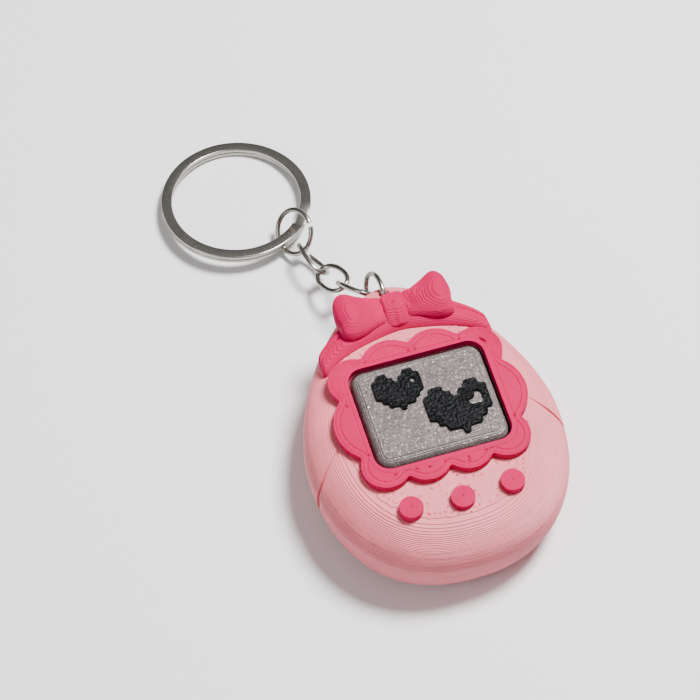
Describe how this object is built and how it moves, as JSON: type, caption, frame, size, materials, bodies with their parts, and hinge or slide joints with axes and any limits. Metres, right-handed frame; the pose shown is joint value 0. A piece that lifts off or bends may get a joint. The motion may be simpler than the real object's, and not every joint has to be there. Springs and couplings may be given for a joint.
{
  "type": "keychain",
  "caption": "Printed egg-shaped clicker keychain: a framed screen with raised hearts sits on a key switch and presses in, under a hair bow, with a short chain and a split ring.",
  "frame": {"origin": "On the flat back of the case, at its widest section, on the case centreline.", "axes": "+Z out of the screen, away from the flat back. +Y to the narrow end with the bow and the key ring. +X to the right of somebody who reads the screen."},
  "size_m": [0.0588, 0.1104, 0.0234],
  "materials": {
    "case_plastic": "light pink PLA, printed face up in 0.2 mm layers",
    "trim_plastic": "hot pink PLA, printed in one piece with the case",
    "screen_plastic": "translucent grey glitter PLA",
    "heart_plastic": "black PLA, rough top skin",
    "switch_plastic": "moulded black nylon",
    "switch_stem_plastic": "moulded blue acetal",
    "contact_metal": "stamped copper alloy",
    "spring_steel": "plated spring wire",
    "ring_nickel": "polished nickel plate on steel wire"
  },
  "bodies": {
    "case_body": {"case": "case_plastic", "screen_frame": "trim_plastic", "headband": "trim_plastic", "bow_knot": "trim_plastic", "bow_loop_left": "trim_plastic", "bow_loop_right": "trim_plastic", "button_left": "trim_plastic", "button_centre": "trim_plastic", "button_right": "trim_plastic", "switch_lower_housing": "switch_plastic", "switch_upper_housing": "switch_plastic", "switch_fixed_contact": "contact_metal", "switch_moving_contact": "contact_metal", "switch_spring": "spring_steel"},
    "screen_body": {"screen_cap": "screen_plastic", "heart_small": "heart_plastic", "heart_large": "heart_plastic", "switch_stem": "switch_stem_plastic"},
    "eye_ring_body": {"eye_ring": "ring_nickel"},
    "link_1_body": {"chain_link_1": "ring_nickel"},
    "link_2_body": {"chain_link_2": "ring_nickel"},
    "link_3_body": {"chain_link_3": "ring_nickel"},
    "jump_ring_body": {"jump_ring": "ring_nickel"},
    "split_ring_body": {"split_ring": "ring_nickel"}
  },
  "joints": [
    {"name": "screen_press", "type": "slide", "parent": "case_body", "child": "screen_body", "axis": [0, 0, -1], "range_m": [0, 0.0036], "stiffness_N_per_m": 90, "springref_m": -0.0025, "deforming": ["switch_spring"]},
    {"name": "eye_ring_swing", "type": "hinge", "parent": "case_body", "child": "eye_ring_body", "pos_m": [-0.00135, 0.0322, 0.0137], "axis": [0.9746, 0.063, -0.2149], "range_deg": [0, 70]},
    {"name": "link_1_swing", "type": "hinge", "parent": "eye_ring_body", "child": "link_1_body", "pos_m": [-0.00219, 0.03521, 0.01055], "axis": [0.5258, 0.6841, 0.5055], "range_deg": [-18, 28]},
    {"name": "link_2_swing", "type": "hinge", "parent": "link_1_body", "child": "link_2_body", "pos_m": [-0.00601, 0.04023, 0.00773], "axis": [-0.3922, 0.2631, 0.8815], "range_deg": [-30, 30]},
    {"name": "link_3_swing", "type": "hinge", "parent": "link_2_body", "child": "link_3_body", "pos_m": [-0.00813, 0.04616, 0.00498], "axis": [0.7816, 0.3276, 0.5309], "range_deg": [-30, 30]},
    {"name": "jump_ring_swing", "type": "hinge", "parent": "link_3_body", "child": "jump_ring_body", "pos_m": [-0.01031, 0.05312, 0.00409], "axis": [-0.7509, -0.247, 0.6125], "range_deg": [-60, 60]},
    {"name": "split_ring_spin", "type": "hinge", "parent": "jump_ring_body", "child": "split_ring_body", "pos_m": [-0.01932, 0.0682, 0.00248], "axis": [0.03, 0.1, 0.9945], "continuous": true}
  ]
}
